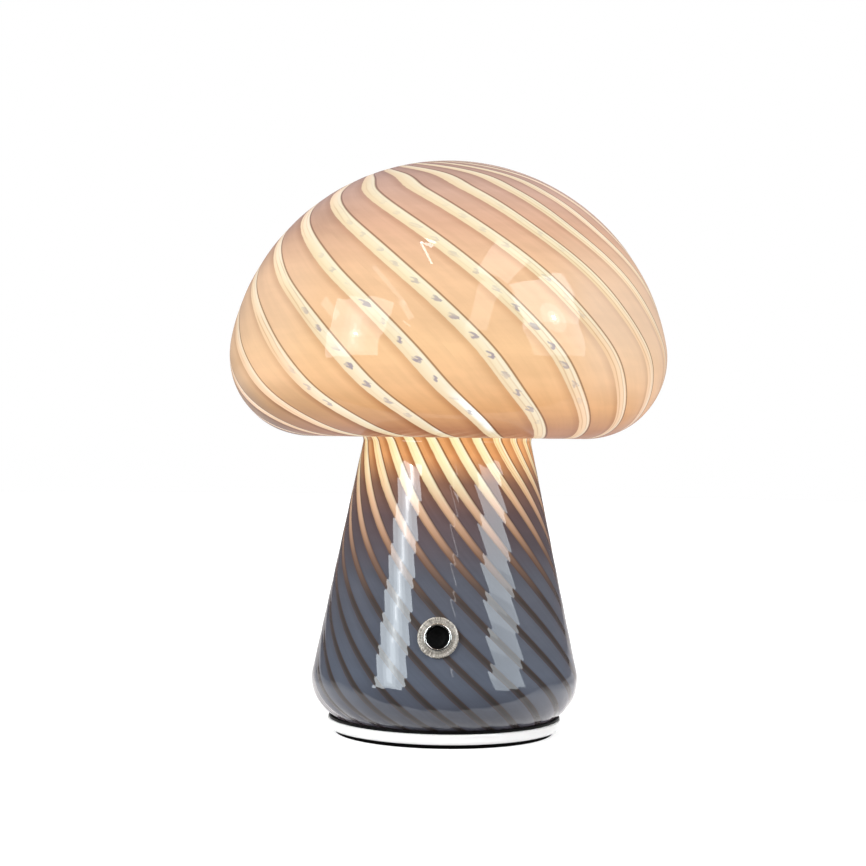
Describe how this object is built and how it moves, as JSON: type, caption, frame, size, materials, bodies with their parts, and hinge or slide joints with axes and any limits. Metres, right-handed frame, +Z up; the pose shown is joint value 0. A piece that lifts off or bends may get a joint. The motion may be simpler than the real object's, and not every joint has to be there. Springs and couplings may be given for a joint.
{
  "type": "table lamp",
  "caption": "Mushroom-shaped cordless table lamp: one blown swirl-glass body with a domed cap, flared stem, round base and a push button.",
  "frame": {"origin": "centre of the underside of the foot ring, on the table", "axes": "+Z up along the axis of the glass; the push button faces -Y; the charging socket is at +Y"},
  "size_m": [0.1916, 0.1916, 0.25],
  "materials": {
    "swirl_glass": "glossy",
    "gasket_rubber": "satin",
    "base_plastic": "satin",
    "foot_rubber": "matte",
    "cover_plastic": "matte",
    "screw_steel": "satin",
    "spring_steel": "satin",
    "column_plastic": "matte",
    "holder_plastic": "matte",
    "cell_can": "satin",
    "nickel_strip": "satin",
    "sink_aluminium": "satin",
    "led_board": "matte",
    "led_chip": "satin",
    "opal_plastic": "matte",
    "circuit_board": "satin",
    "chip_plastic": "matte",
    "ferrite": "matte",
    "socket_steel": "satin",
    "clear_silicone": "satin",
    "bezel_chrome": "polished",
    "button_plastic": "satin",
    "nut_brass": "satin",
    "lead_insulation": "satin"
  },
  "bodies": {
    "lamp": {"glass_cap": "swirl_glass", "glass_stem": "swirl_glass", "glass_gasket": "gasket_rubber", "base_shell": "base_plastic", "foot_ring": "foot_rubber", "bottom_cover": "cover_plastic", "cover_screws": "screw_steel", "glass_clips": "spring_steel", "clip_screws": "screw_steel", "column_tube": "column_plastic", "column_screws": "screw_steel", "cell_holder": "holder_plastic", "battery_cells": "cell_can", "cell_contacts": "nickel_strip", "heat_sink": "sink_aluminium", "led_board": "led_board", "led_board_screws": "screw_steel", "led_chips": "led_chip", "light_dome": "opal_plastic", "control_board": "circuit_board", "board_screws": "screw_steel", "board_chips": "chip_plastic", "choke_coil": "ferrite", "charge_socket": "socket_steel", "switch_grommet": "clear_silicone", "switch_bezel": "bezel_chrome", "button_spring": "spring_steel", "switch_washer": "gasket_rubber", "switch_nut": "nut_brass", "switch_case": "holder_plastic", "switch_terminals": "nut_brass", "switch_leads": "lead_insulation", "led_leads": "lead_insulation", "battery_leads": "lead_insulation"},
    "button": {"push_button": "button_plastic"}
  },
  "joints": [
    {"name": "button_press", "type": "slide", "parent": "lamp", "child": "button", "axis": [0, 0.9786, -0.2057], "range_m": [0, 0.0012], "stiffness_N_per_m": 800, "deforming": ["button_spring"]}
  ]
}
